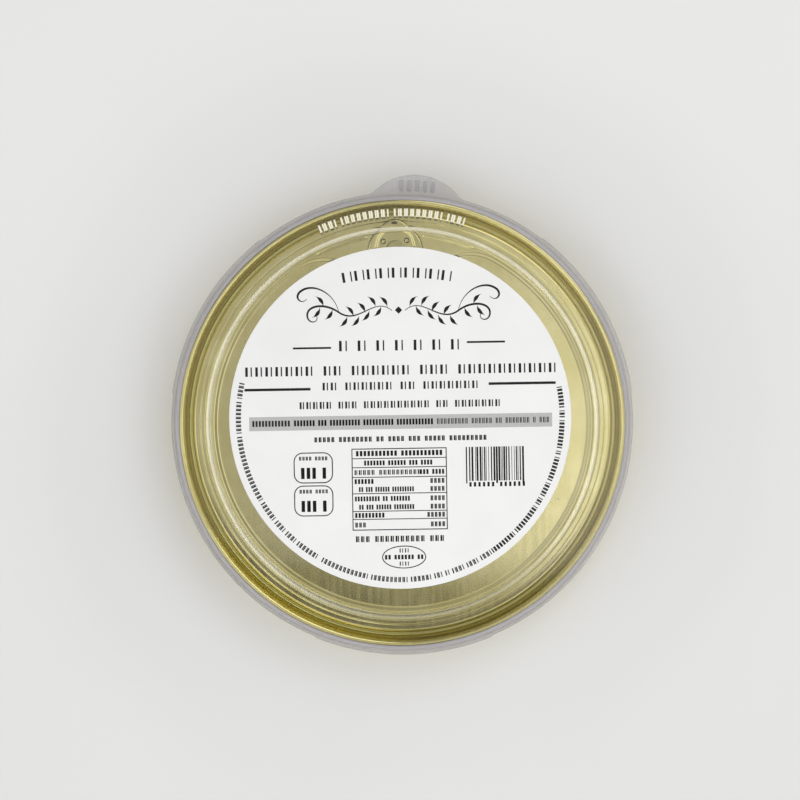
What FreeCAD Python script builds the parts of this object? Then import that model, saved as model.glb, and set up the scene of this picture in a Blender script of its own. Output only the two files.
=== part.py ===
import FreeCAD, Part
import math
import os

# Flat round tin of anchovies: a drawn can, an easy-open end seamed on to it, its ring pull,
# a clear push-on cap and the round paper label stuck on the cap.
# Millimetres, +Z up. Origin: centre of the base on the can's axis. +Y is the ring pull's side.

# can body: drawn sheet, full to just under the end
can_bore = 126.5
can_height = 16.0
body_sheet = 0.2
heel_radius = 2.0
stand_ring_width = 3.6
base_step_run = 1.0
outer_base_rise = 0.8
inner_base_rise = 1.3
inner_base_inset = 8.0
base_bend = 0.7
fill_clearance = 0.3

# easy-open end: double seam, chuck wall, countersink, scored panel
end_sheet = 0.22
seam_thickness = 1.4
seam_length = 3.0
seam_round = 0.65
seam_foot_round = 0.4
chuck_slope = 13.0
countersink_depth = 4.2
countersink_width = 1.5
countersink_outer_bend = 0.8
countersink_inner_bend = 0.45
countersink_wall_lean = 0.1
panel_rise = 1.3
panel_edge_bend = 0.8
score_inset = 2.3
score_width = 0.3
score_depth = 0.1

# debossed middle of the end, which leaves a level landing round the rivet
deboss_inset = 3.7
deboss_depth = 0.4
deboss_slope_run = 1.4
landing_radius = 12.0
landing_sweep_radius = 14.0

# two stiffening grooves, one each side of the ring pull's nose
groove_inset = 3.85
groove_radius = 0.55
groove_depth = 0.3
groove_from = 9.0
groove_to = 24.0

# ring pull, on its own axis: y towards the nose, zero at the rivet
pull_turn = 2.3
nose_overlap = 0.55
nose_reach = 8.9
nose_radius = 4.2
shoulder_radius = 8.0
shoulder_back = 0.5
ring_radius = 11.0
ring_back = 17.0
pull_thickness = 1.1
pull_edge_round = 0.5
pull_seat_gap = 0.15
finger_throat_radius = 4.6
finger_throat_back = 9.6
finger_bow_radius = 8.2
web_sink = 0.4
web_slope_run = 1.0
web_top_corner_radius = 3.3
web_top_corner_out = 2.2
web_top_corner_ahead = 2.35
web_foot_corner_radius = 1.8
web_foot_corner_out = 5.6
web_foot_corner_back = 5.5
hole_rim_width = 1.4
nose_dent_radius = 0.65
nose_dent_depth = 0.25
nose_dent_out = 3.37
nose_dent_ahead = 2.6
tip_dent_length = 1.7
tip_dent_width = 0.7
tip_dent_back = 1.1

# rivet, drawn up out of the end and headed over the ring pull
rivet_shank_radius = 1.7
rivet_head_radius = 2.6
rivet_head_height = 0.5
rivet_hole_clearance = 0.05

# clear push-on cap
cap_wall = 0.7
cap_headroom = 0.45
cap_ring_width = 8.1
cap_step_run = 1.4
cap_step_bend = 0.5
cap_shoulder_round = 0.9
cap_seam_clearance = 0.15
cap_skirt_draft = 0.35
cap_skirt_below_seam = 1.2
cap_flange_width = 1.1
bead_height = 0.8
bead_reach = 0.75
bead_drop = 0.1
lug_count = 3
lug_span = 45.0
lug_stand = 0.3
cap_turn = -3.6
lug_turn = -56.0
thumb_tab_radius = 16.5
thumb_tab_reach = 5.05
thumb_tab_fillet = 2.0
thumb_rib_count = 5
thumb_rib_pitch = 2.3
thumb_rib_width = 1.15
thumb_rib_length = 3.0
thumb_rib_height = 0.3
thumb_rib_back = 0.35

# paper label
label_margin = 5.85
label_thickness = 0.12
label_shift_x = -0.6
label_shift_y = 1.45

# levels
seam_top = can_height
seam_foot = seam_top - seam_length
countersink_floor = seam_top - countersink_depth
panel_top = countersink_floor + panel_rise
pull_bottom = panel_top + pull_seat_gap
pull_top = pull_bottom + pull_thickness
web_top = pull_top - web_sink
rivet_top = web_top + rivet_head_height
cap_panel_bottom = max(rivet_top, pull_top) + cap_headroom
cap_panel_top = cap_panel_bottom + cap_wall
cap_ring_top = seam_top + cap_wall
cap_skirt_foot = seam_foot - cap_skirt_below_seam
cap_flange_top = cap_skirt_foot + cap_wall

# radii
body_inside = can_bore / 2
body_outside = body_inside + body_sheet
seam_inside = body_inside - end_sheet
seam_outside = seam_inside + seam_thickness
chuck_foot = seam_inside - countersink_depth * math.tan(math.radians(chuck_slope))
panel_edge = chuck_foot - countersink_width
score_line = panel_edge - score_inset
deboss_edge = score_line - deboss_inset
groove_line = score_line - groove_inset
rivet_out = score_line + nose_overlap - nose_reach
cap_skirt_inside = seam_outside + cap_seam_clearance
cap_skirt_outside = cap_skirt_inside + cap_wall
cap_step_head = cap_skirt_inside - cap_ring_width
cap_step_foot = cap_step_head - cap_step_run
cap_flange_edge = cap_skirt_outside + cap_skirt_draft + cap_flange_width
label_radius = cap_step_foot - label_margin

axis = FreeCAD.Vector(0, 0, 1)
centre = FreeCAD.Vector(0, 0, 0)


def joined(segments):
    return Part.Wire([segment.toShape() for segment in segments])


def line(start, end):
    return Part.LineSegment(start, end)


def section(corners):
    """Closed outline through (r, z, bend) corners: straight runs joined by tangent arcs."""
    points = [FreeCAD.Vector(r, 0, z) for r, z, bend in corners]
    bends = []
    for i, (r, z, bend) in enumerate(corners):
        here = points[i]
        back = points[i - 1] - here
        ahead = points[(i + 1) % len(points)] - here
        back.normalize()
        ahead.normalize()
        if bend <= 0:
            bends.append((here, None, here))
            continue
        half = back.getAngle(ahead) / 2
        inward = back + ahead
        inward.normalize()
        reach = bend / math.tan(half)
        crown = bend / math.sin(half) - bend
        bends.append((here + back * reach, here + inward * crown, here + ahead * reach))
    segments = []
    for i, (start, crown, end) in enumerate(bends):
        if crown is not None:
            segments.append(Part.Arc(start, crown, end))
        following = bends[(i + 1) % len(bends)][0]
        if end.distanceToPoint(following) > 1e-6:
            segments.append(line(end, following))
    return Part.Face(joined(segments))


def turned(corners, start=0.0, span=360.0):
    """The section spun round the can's axis, from start degrees through span."""
    face = section(corners)
    face.rotate(centre, axis, start)
    return face.revolve(centre, axis, span)


def belt(circles, z):
    """Outline of a belt pulled round (x, y, radius) circles listed anticlockwise, at height z."""
    normals = []
    for i, (x, y, radius) in enumerate(circles):
        next_x, next_y, next_radius = circles[(i + 1) % len(circles)]
        run = math.hypot(next_x - x, next_y - y)
        heading = math.atan2(next_y - y, next_x - x)
        normals.append(heading - math.acos((radius - next_radius) / run))
    segments = []
    leave = None
    for i, (x, y, radius) in enumerate(circles):
        arrive_angle = normals[i - 1]
        sweep = (normals[i] - arrive_angle) % (2 * math.pi)
        arrive, middle, depart = [
            FreeCAD.Vector(x + radius * math.cos(a), y + radius * math.sin(a), z)
            for a in (arrive_angle, arrive_angle + sweep / 2, arrive_angle + sweep)
        ]
        if leave is not None:
            segments.append(line(leave, arrive))
        else:
            first = arrive
        segments.append(Part.Arc(arrive, middle, depart))
        leave = depart
    segments.append(line(leave, first))
    return joined(segments)


def prism(wire, height):
    return Part.Face(wire).extrude(FreeCAD.Vector(0, 0, height))


def faced_to_pull(shape):
    """Turned about the can's axis from +Y to the ring pull's side."""
    shape.rotate(centre, axis, pull_turn)
    return shape


def placed_on_pull(shape):
    """From the ring pull's own axes, with zero at the rivet, to the can's."""
    shape.translate(FreeCAD.Vector(0, rivet_out, 0))
    return faced_to_pull(shape)


def can_body():
    ring_inside = body_outside - heel_radius - stand_ring_width
    inner_edge = ring_inside - base_step_run - inner_base_inset
    sheet_floor = panel_top - deboss_depth - end_sheet - fill_clearance
    moat_floor = countersink_floor - end_sheet - fill_clearance
    moat_edge = panel_edge - end_sheet - fill_clearance
    return turned(
        [
            (0, inner_base_rise, 0),
            (inner_edge - base_step_run, inner_base_rise, base_bend),
            (inner_edge, outer_base_rise, base_bend),
            (ring_inside - base_step_run, outer_base_rise, base_bend),
            (ring_inside, 0, base_bend),
            (body_outside, 0, heel_radius),
            (body_outside, seam_foot, 0),
            (body_inside, seam_foot, 0),
            (body_inside, moat_floor, 0),
            (moat_edge, moat_floor, 0),
            (moat_edge, sheet_floor, 0),
            (0, sheet_floor, 0),
        ]
    )


def end_shell():
    wall_top_bend = min(panel_edge_bend, 0.62 * panel_rise)
    wall_foot_bend = min(countersink_inner_bend, 0.35 * panel_rise)
    wall_foot = panel_edge + countersink_wall_lean
    sheet_floor = countersink_floor - end_sheet
    chuck_at_seam_foot = seam_inside - seam_length * math.tan(math.radians(chuck_slope))
    return turned(
        [
            (0, panel_top, 0),
            (score_line - score_width / 2, panel_top, 0),
            (score_line, panel_top - score_depth, 0),
            (score_line + score_width / 2, panel_top, 0),
            (panel_edge, panel_top, wall_top_bend),
            (wall_foot, countersink_floor, wall_foot_bend),
            (chuck_foot, countersink_floor, countersink_outer_bend),
            (seam_inside, seam_top, seam_round),
            (seam_outside, seam_top, seam_round),
            (seam_outside, seam_foot, seam_foot_round),
            (chuck_at_seam_foot + end_sheet, seam_foot, 0),
            (chuck_foot + end_sheet, sheet_floor, countersink_outer_bend + end_sheet),
            (wall_foot - end_sheet, sheet_floor, wall_foot_bend + end_sheet),
            (panel_edge - end_sheet, panel_top - end_sheet, wall_top_bend - end_sheet),
            (0, panel_top - end_sheet, 0),
        ]
    )


def deboss_outline(inset, z):
    """A circle bitten by the round landing at the rivet, with a wide sweep at both corners."""
    edge = deboss_edge - inset
    landing = landing_radius + inset
    sweep = landing_sweep_radius - inset
    from_centre = edge - sweep
    from_rivet = landing + sweep
    along = (from_centre**2 - from_rivet**2 + rivet_out**2) / (2 * rivet_out)
    across = math.sqrt(from_centre**2 - along**2)
    landing_foot = FreeCAD.Vector(0, rivet_out - landing, z)
    edge_foot = FreeCAD.Vector(0, -edge, z)
    ends = {}
    for side in (-1, 1):
        hub = FreeCAD.Vector(side * across, along, z)
        outward = FreeCAD.Vector(hub.x, hub.y, 0).normalize()
        inward = FreeCAD.Vector(-hub.x, rivet_out - hub.y, 0).normalize()
        between = (outward + inward).normalize()
        ends[side] = (hub + outward * sweep, hub + between * sweep, hub + inward * sweep)
    left, right = ends[-1], ends[1]
    return joined(
        [
            Part.Arc(left[0], edge_foot, right[0]),
            Part.Arc(right[0], right[1], right[2]),
            Part.Arc(right[2], landing_foot, left[2]),
            Part.Arc(left[2], left[1], left[0]),
        ]
    )


def deboss_solid(grow, top):
    upper = deboss_outline(-grow, top)
    lower = deboss_outline(deboss_slope_run - grow, top - deboss_depth)
    return Part.makeLoft([upper, lower], True, True)


def groove_solid(radius, dip, side):
    """Round-ended trough along an arc: its round bar is sunk so that it dips that far below the panel."""
    middle_z = panel_top - dip + radius
    start, end = sorted((side * groove_from + 90, side * groove_to + 90))
    circle = Part.makeCircle(radius, FreeCAD.Vector(groove_line, 0, middle_z), FreeCAD.Vector(0, 1, 0))
    bar = Part.Face(Part.Wire(circle))
    bar.rotate(centre, axis, start)
    trough = bar.revolve(centre, axis, end - start)
    for angle in (start, end):
        at = FreeCAD.Vector(
            groove_line * math.cos(math.radians(angle)),
            groove_line * math.sin(math.radians(angle)),
            middle_z,
        )
        trough = trough.fuse(Part.makeSphere(radius, at))
    return trough


def rivet():
    head_rim = rivet_head_height / 2
    profile = section(
        [
            (0, panel_top - end_sheet / 2, 0),
            (rivet_shank_radius, panel_top - end_sheet / 2, 0),
            (rivet_shank_radius, web_top, 0),
            (rivet_head_radius, web_top, 0),
            (rivet_head_radius, rivet_top, head_rim),
            (0, rivet_top, 0),
        ]
    )
    return profile.revolve(centre, axis, 360)


def can_end():
    shell = end_shell()
    shell = shell.fuse(faced_to_pull(deboss_solid(end_sheet, panel_top - end_sheet)))
    shell = shell.cut(faced_to_pull(deboss_solid(0, panel_top)))
    trough_room = groove_depth + 2 * end_sheet
    mid_sheet = panel_top - end_sheet / 2
    under_panel = Part.makeCylinder(score_line, trough_room, FreeCAD.Vector(0, 0, mid_sheet - trough_room))
    for side in (-1, 1):
        backing = groove_solid(groove_radius + end_sheet, groove_depth + end_sheet, side)
        shell = shell.fuse(faced_to_pull(backing.common(under_panel)))
        shell = shell.cut(faced_to_pull(groove_solid(groove_radius, groove_depth, side)))
    return shell.fuse(placed_on_pull(rivet())).removeSplitter()


def pull_circles():
    shoulder = (0, -shoulder_back, shoulder_radius)
    return [(0, nose_reach - nose_radius, nose_radius), shoulder, (0, -ring_back, ring_radius), shoulder]


def finger_hole(grow, z):
    return belt(
        [
            (0, -finger_throat_back, finger_throat_radius + grow),
            (0, -ring_back, finger_bow_radius + grow),
        ],
        z,
    )


def web_outline(inset, z):
    head = (web_top_corner_out, web_top_corner_ahead, web_top_corner_radius - inset)
    foot = (web_foot_corner_out, -web_foot_corner_back, web_foot_corner_radius - inset)
    return belt([head, mirrored(head), mirrored(foot), foot], z)


def web_recess():
    """Arched hollow with a sloping wall, cut off by the rim of the finger hole."""
    hollow = Part.makeLoft([web_outline(web_slope_run, web_top), web_outline(0, pull_top)], True, True)
    return hollow.cut(prism(finger_hole(hole_rim_width, web_top - web_sink), 2 * pull_thickness))


def mirrored(circle):
    x, y, radius = circle
    return (-x, y, radius)


def dent(radius, depth, x, y, z):
    """Ball that sinks a round dent of that radius and depth into a level face at z."""
    ball = (radius**2 + depth**2) / (2 * depth)
    return Part.makeSphere(ball, FreeCAD.Vector(x, y, z + ball - depth))


def tip_slot():
    half = (tip_dent_length - tip_dent_width) / 2
    y = nose_reach - tip_dent_back
    slot = belt([(half, y, tip_dent_width / 2), (-half, y, tip_dent_width / 2)], pull_top - nose_dent_depth)
    return prism(slot, pull_thickness)


def ring_pull():
    tab = prism(belt(pull_circles(), pull_bottom), pull_thickness)
    tab = tab.cut(prism(finger_hole(0, pull_bottom), pull_thickness))
    rims = [e for e in tab.Edges if abs(e.CenterOfMass.z - pull_bottom - pull_thickness / 2) > pull_thickness / 3]
    tab = tab.makeFillet(pull_edge_round, rims)
    tab = tab.cut(web_recess())
    tab = tab.cut(tip_slot())
    for side in (-1, 1):
        tab = tab.cut(dent(nose_dent_radius, nose_dent_depth, side * nose_dent_out, nose_dent_ahead, web_top))
    shank = Part.makeCylinder(rivet_shank_radius + rivet_hole_clearance, 2 * pull_thickness)
    shank.translate(FreeCAD.Vector(0, 0, pull_bottom - pull_thickness / 2))
    return placed_on_pull(tab.cut(shank))


def cap_shell():
    skirt_foot_inside = cap_skirt_inside + cap_skirt_draft
    skirt_foot_outside = cap_skirt_outside + cap_skirt_draft
    return turned(
        [
            (0, cap_panel_top, 0),
            (cap_step_foot, cap_panel_top, cap_step_bend),
            (cap_step_head, cap_ring_top, cap_step_bend),
            (cap_skirt_outside, cap_ring_top, cap_shoulder_round),
            (skirt_foot_outside, cap_flange_top, 0),
            (cap_flange_edge, cap_flange_top, 0),
            (cap_flange_edge, cap_skirt_foot, 0),
            (skirt_foot_inside, cap_skirt_foot, 0),
            (cap_skirt_inside, seam_top, 0),
            (cap_step_head + cap_wall / 2, seam_top, cap_step_bend),
            (cap_step_foot + cap_wall / 2, cap_panel_bottom, cap_step_bend),
            (0, cap_panel_bottom, 0),
        ]
    )


def snap_bead(start):
    """Lip inside the skirt that springs in under the seam."""
    top = seam_foot - bead_drop
    root = cap_skirt_inside + cap_skirt_draft + cap_wall / 2
    crest = cap_skirt_inside + cap_skirt_draft - bead_reach
    return turned(
        [
            (root, top, 0),
            (crest, top - bead_height / 3, 0),
            (crest, top - 2 * bead_height / 3, 0),
            (root, top - bead_height, 0),
        ],
        start,
        lug_span,
    )


def flange_lug(start):
    """Stretch of flange that stands out where the bead is moulded behind it."""
    root = cap_flange_edge - cap_wall
    edge = cap_flange_edge + lug_stand
    return turned(
        [
            (root, cap_flange_top, 0),
            (edge, cap_flange_top, 0),
            (edge, cap_skirt_foot, 0),
            (root, cap_skirt_foot, 0),
        ],
        start,
        lug_span,
    )


def thumb_tab():
    """Part of a circle that stands out of the flange, with a fillet at both roots."""
    reach = cap_flange_edge + thumb_tab_reach
    hub = reach - thumb_tab_radius
    to_fillet = cap_flange_edge + thumb_tab_fillet
    hub_to_fillet = thumb_tab_radius + thumb_tab_fillet
    along = (to_fillet**2 - hub_to_fillet**2 + hub**2) / (2 * hub)
    across = math.sqrt(to_fillet**2 - along**2)
    inner = cap_skirt_outside
    points = {}
    for side in (-1, 1):
        fillet = FreeCAD.Vector(side * across, along, cap_skirt_foot)
        to_flange = FreeCAD.Vector(-fillet.x, -fillet.y, 0).normalize()
        to_tab = FreeCAD.Vector(-fillet.x, hub - fillet.y, 0).normalize()
        bend = (to_flange + to_tab).normalize()
        foot = fillet + to_flange * thumb_tab_fillet
        root = FreeCAD.Vector(foot.x, foot.y, foot.z) * (inner / math.hypot(foot.x, foot.y))
        root.z = cap_skirt_foot
        points[side] = (root, foot, fillet + bend * thumb_tab_fillet, fillet + to_tab * thumb_tab_fillet)
    left, right = points[-1], points[1]
    outline = joined(
        [
            line(right[0], right[1]),
            Part.Arc(right[1], right[2], right[3]),
            Part.Arc(right[3], FreeCAD.Vector(0, reach, cap_skirt_foot), left[3]),
            Part.Arc(left[3], left[2], left[1]),
            line(left[1], left[0]),
            Part.Arc(left[0], FreeCAD.Vector(0, inner, cap_skirt_foot), right[0]),
        ]
    )
    tab = prism(outline, cap_wall)
    for i in range(thumb_rib_count):
        tab = tab.fuse(thumb_rib((i - (thumb_rib_count - 1) / 2) * thumb_rib_pitch))
    return tab


def thumb_rib(along):
    """Raised grip bar on the thumb tab, that far along it from its middle."""
    foot = cap_flange_edge + thumb_rib_back
    tip = foot + thumb_rib_length
    root = cap_flange_top - cap_wall / 2
    crest = cap_flange_top + thumb_rib_height
    middle = (foot + tip) / 2
    span = math.degrees(thumb_rib_width / middle)
    start = 90 + math.degrees(along / middle) - span / 2
    return turned([(foot, root, 0), (tip, root, 0), (tip, crest, 0), (foot, crest, 0)], start, span)


def overcap():
    cap = cap_shell()
    for i in range(lug_count):
        start = 90 + lug_turn - lug_span / 2 + i * 360 / lug_count
        cap = cap.fuse(snap_bead(start)).fuse(flange_lug(start))
    cap = cap.fuse(thumb_tab()).removeSplitter()
    cap.rotate(centre, axis, cap_turn)
    return cap


def label():
    at = FreeCAD.Vector(label_shift_x, label_shift_y, cap_panel_top)
    return Part.makeCylinder(label_radius, label_thickness, at)


pieces = {
    "can_body": can_body,
    "can_end": can_end,
    "ring_pull": ring_pull,
    "overcap": overcap,
    "label": label,
}

os.makedirs("parts", exist_ok=True)
for name, build in pieces.items():
    shape = build()
    solids = shape.Solids
    print(name, "solids", len(solids), "valid", shape.isValid(), "volume", round(shape.Volume, 1))
    solid = solids[0] if len(solids) == 1 else shape
    solid.exportStep("parts/" + name + ".step")
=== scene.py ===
import math
import random

import bpy
import bmesh
from mathutils import Matrix, Vector
from mathutils.geometry import interpolate_bezier


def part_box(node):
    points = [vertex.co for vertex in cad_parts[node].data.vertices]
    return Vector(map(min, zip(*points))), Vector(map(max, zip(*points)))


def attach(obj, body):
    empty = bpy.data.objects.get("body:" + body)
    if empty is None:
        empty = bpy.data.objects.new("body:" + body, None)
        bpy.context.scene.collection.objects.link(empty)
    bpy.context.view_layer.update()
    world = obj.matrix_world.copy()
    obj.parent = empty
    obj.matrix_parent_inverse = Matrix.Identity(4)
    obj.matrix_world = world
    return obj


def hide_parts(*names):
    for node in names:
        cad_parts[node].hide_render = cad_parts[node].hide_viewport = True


# Flat round tin with an easy-open end, lying on its base under a clear push-on cap with a paper label.
# Metres, +Z up, origin at the middle of the base, +Y towards the nose of the ring pull.

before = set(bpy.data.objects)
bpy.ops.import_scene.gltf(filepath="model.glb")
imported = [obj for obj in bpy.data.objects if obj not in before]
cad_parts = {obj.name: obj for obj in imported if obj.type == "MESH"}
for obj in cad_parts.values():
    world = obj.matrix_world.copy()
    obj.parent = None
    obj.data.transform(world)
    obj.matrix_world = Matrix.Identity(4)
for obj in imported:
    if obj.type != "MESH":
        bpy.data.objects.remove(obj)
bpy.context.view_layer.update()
mm = 0.001

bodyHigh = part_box("can_body")[1]
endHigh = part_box("can_end")[1]
capLow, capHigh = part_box("overcap")
labelLow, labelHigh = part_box("label")


# small helpers

def wireOutline(bm, corners, closed, tagLayer=None):
    # corners are (radius, height, bend, tag) in mm; the outline stands in the XZ plane
    made = []
    for radius, height, bend, tag in corners:
        vert = bm.verts.new((radius * mm, 0, height * mm))
        if tagLayer is not None:
            vert[tagLayer] = tag
        made.append((vert, bend))
    for (a, _), (b, _) in zip(made, made[1:]):
        bm.edges.new((a, b))
    if closed:
        bm.edges.new((made[-1][0], made[0][0]))
    for vert, bend in made:
        if bend > 0:
            one, two = [(edge.other_vert(vert).co - vert.co).normalized() for edge in vert.link_edges]
            half = one.angle(two) / 2
            bmesh.ops.bevel(bm, geom=[vert], offset=bend * mm / math.tan(half), offset_type="OFFSET",
                            segments=max(3, round(10 * (math.pi - 2 * half) / math.pi)), profile=0.5,
                            affect="VERTICES", material=-1, clamp_overlap=False)


def spunSheet(bm, steps):
    bmesh.ops.spin(bm, geom=bm.verts[:] + bm.edges[:], cent=(0, 0, 0), axis=(0, 0, 1),
                   angle=2 * math.pi, steps=steps, use_merge=True)
    bmesh.ops.remove_doubles(bm, verts=bm.verts[:], dist=0.002 * mm)


def finished(name, bm, material, sharpAngle=40, outward=True):
    # outward is off where the faces already point the right way
    if outward:
        bmesh.ops.recalc_face_normals(bm, faces=bm.faces[:])
    mesh = bpy.data.meshes.new(name)
    bm.to_mesh(mesh)
    bm.free()
    mesh.shade_smooth()
    mesh.set_sharp_from_angle(angle=math.radians(sharpAngle))
    mesh.materials.append(material)
    piece = bpy.data.objects.new(name, mesh)
    bpy.context.scene.collection.objects.link(piece)
    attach(piece, "root")
    return piece


def crispened(piece):
    # wide faces keep their own slope and the bends between them take the turn
    crisp = piece.modifiers.new("crisp", "WEIGHTED_NORMAL")
    crisp.keep_sharp = True


def newMaterial(name):
    material = bpy.data.materials.new(name)
    material.use_nodes = True
    nodes = material.node_tree.nodes
    return material, nodes, material.node_tree.links, nodes["Principled BSDF"]


def noiseNode(nodes, links, scale, detail, stretch=(1, 1, 1), turn=0.0):
    coords = nodes.new("ShaderNodeTexCoord")
    mapping = nodes.new("ShaderNodeMapping")
    mapping.inputs["Scale"].default_value = stretch
    mapping.inputs["Rotation"].default_value = (0, 0, math.radians(turn))
    noise = nodes.new("ShaderNodeTexNoise")
    noise.inputs["Scale"].default_value = scale
    noise.inputs["Detail"].default_value = detail
    links.new(coords.outputs["Object"], mapping.inputs["Vector"])
    links.new(mapping.outputs["Vector"], noise.inputs["Vector"])
    return noise


def mixedColour(nodes, links, factor, low, high, fromMin, fromMax):
    span = nodes.new("ShaderNodeMapRange")
    span.inputs["From Min"].default_value = fromMin
    span.inputs["From Max"].default_value = fromMax
    mix = nodes.new("ShaderNodeMix")
    mix.data_type = "RGBA"
    mix.inputs["A"].default_value = low
    mix.inputs["B"].default_value = high
    links.new(factor, span.inputs["Value"])
    links.new(span.outputs["Result"], mix.inputs["Factor"])
    return mix


def spread(nodes, links, factor, low, high, fromMin=0.35, fromMax=0.65):
    span = nodes.new("ShaderNodeMapRange")
    span.inputs["From Min"].default_value = fromMin
    span.inputs["From Max"].default_value = fromMax
    span.inputs["To Min"].default_value = low
    span.inputs["To Max"].default_value = high
    links.new(factor, span.inputs["Value"])
    return span.outputs["Result"]


def eased(nodes, links, value, low, high, toLow, toHigh):
    span = nodes.new("ShaderNodeMapRange")
    span.interpolation_type = "SMOOTHSTEP"
    span.inputs["From Min"].default_value = low
    span.inputs["From Max"].default_value = high
    span.inputs["To Min"].default_value = toLow
    span.inputs["To Max"].default_value = toHigh
    links.new(value, span.inputs["Value"])
    return span.outputs["Result"]


def worked(nodes, links, operation, one, two):
    step = nodes.new("ShaderNodeMath")
    step.operation = operation
    for socket, value in zip(step.inputs, (one, two)):
        if isinstance(value, float):
            socket.default_value = value
        else:
            links.new(value, socket)
    return step.outputs["Value"]


def radiusNode(nodes, links):
    # distance from the tin's axis
    coords = nodes.new("ShaderNodeTexCoord")
    flat = nodes.new("ShaderNodeVectorMath")
    flat.operation = "MULTIPLY"
    flat.inputs[1].default_value = (1, 1, 0)
    links.new(coords.outputs["Object"], flat.inputs[0])
    out = nodes.new("ShaderNodeVectorMath")
    out.operation = "LENGTH"
    links.new(flat.outputs["Vector"], out.inputs[0])
    return out.outputs["Value"]


def bumpNode(nodes, links, height, strength, distance, under=None):
    bump = nodes.new("ShaderNodeBump")
    bump.inputs["Strength"].default_value = strength
    bump.inputs["Distance"].default_value = distance
    links.new(height, bump.inputs["Height"])
    if under is not None:
        links.new(under, bump.inputs["Normal"])
    return bump.outputs["Normal"]


# finishes

lacquer = {
    "light": (0.93, 0.84, 0.41, 1),
    "deep": (0.84, 0.745, 0.315, 1),
    "roughLow": 0.07,
    "roughHigh": 0.12,
    "grainTurn": 14,
    "grainScale": 900,
    "grainDepth": 1.6e-6,
    "waveScale": 45,
    "waveDepth": 1.8e-5,
    "countersinkShade": (0.665, 0.60, 0.20, 1),
    "countersinkShadeFrom": 60.35,
    "countersinkShadeTo": 63.05,
    "countersinkShadeBlend": 0.25,
    "creviceReach": 0.53,
    "creviceShadeTone": 0.12,
    "edgeFrom": 0.7,
    "edgeTo": 0.92,
    "edgeTone": 0.08,
}


def goldLacquer(name, tone=1.0, countersinkShade=False, slopeShade=False):
    # gold lacquer over rolled tinplate: long fine grain and slow waves in the sheet,
    # with painted shade, where asked, deepening it over the countersink and darkening steep faces and edge bends
    material, nodes, links, shader = newMaterial(name)
    grain = noiseNode(nodes, links, lacquer["grainScale"], 3, (1, 0.05, 1), lacquer["grainTurn"])
    cloud = noiseNode(nodes, links, 90, 4)
    wave = noiseNode(nodes, links, lacquer["waveScale"], 1)
    deep = tuple(c * tone for c in lacquer["deep"][:3]) + (1,)
    light = tuple(c * tone for c in lacquer["light"][:3]) + (1,)
    colour = mixedColour(nodes, links, cloud.outputs["Fac"], deep, light, 0.35, 0.65).outputs["Result"]
    # painted shade: a deeper colour over the countersink and chuck wall
    if countersinkShade:
        radius, blend = radiusNode(nodes, links), lacquer["countersinkShadeBlend"] * mm
        start, end = lacquer["countersinkShadeFrom"] * mm, lacquer["countersinkShadeTo"] * mm
        share = worked(nodes, links, "MULTIPLY", eased(nodes, links, radius, start - blend, start, 0, 1),
                       eased(nodes, links, radius, end, end + blend, 1, 0))
        mix = nodes.new("ShaderNodeMix")
        mix.data_type = "RGBA"
        links.new(share, mix.inputs["Factor"])
        links.new(colour, mix.inputs["A"])
        mix.inputs["B"].default_value = lacquer["countersinkShade"]
        colour = mix.outputs["Result"]
    # painted shade: the colour darkens in the crevices round the pull and the rivet, not in the countersink
    crevice = nodes.new("ShaderNodeAmbientOcclusion")
    crevice.samples = 6
    crevice.inputs["Distance"].default_value = lacquer["creviceReach"] * mm
    depth = eased(nodes, links, crevice.outputs["AO"], 0.3, 0.98, 1, 0)
    if countersinkShade:
        depth = worked(nodes, links, "MULTIPLY", depth,
                       eased(nodes, links, radius, start - 2 * blend, start - blend, 1, 0))
    dim = worked(nodes, links, "SUBTRACT", 1.0,
                 worked(nodes, links, "MULTIPLY", depth, 1.0 - lacquer["creviceShadeTone"]))
    # painted shade: faces tilted away from straight up turn dark, outlining the pull, the rivet and the dents
    if slopeShade:
        surface = nodes.new("ShaderNodeNewGeometry")
        facing = nodes.new("ShaderNodeSeparateXYZ")
        links.new(surface.outputs["True Normal"], facing.inputs["Vector"])
        dim = worked(nodes, links, "MULTIPLY", dim,
                     eased(nodes, links, facing.outputs["Z"], lacquer["edgeFrom"],
                                                          lacquer["edgeTo"], lacquer["edgeTone"], 1.0))
    shade = nodes.new("ShaderNodeVectorMath")
    shade.operation = "SCALE"
    links.new(colour, shade.inputs[0])
    links.new(dim, shade.inputs["Scale"])
    links.new(shade.outputs["Vector"], shader.inputs["Base Color"])
    rough = spread(nodes, links, grain.outputs["Fac"], lacquer["roughLow"], lacquer["roughHigh"])
    links.new(rough, shader.inputs["Roughness"])
    slow = bumpNode(nodes, links, wave.outputs["Fac"], 0.5, lacquer["waveDepth"])
    fine = bumpNode(nodes, links, grain.outputs["Fac"], 0.7, lacquer["grainDepth"], slow)
    links.new(fine, shader.inputs["Normal"])
    shader.inputs["Metallic"].default_value = 1.0
    return material


clear = {
    "tint": (0.93, 0.93, 0.925, 1),
    "milkAndReflection": (0.62, 0.60, 0.615, 1),
    "reflectionFrom": 64.0,
    "reflectionTo": 64.35,
    "flangeFrom": 65.75,
    "flangeTo": 66.1,
    "reflectionShare": 0.5,
    "flangeShare": 0.25,
    "speckScale": 330,
    "speckSize": 0.05,
    "speckShare": 0.85,
    "ior": 1.57,
    "rough": 0.04,
    "flowScale": 70,
    "flowDepth": 1.1e-5,
}


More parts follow.
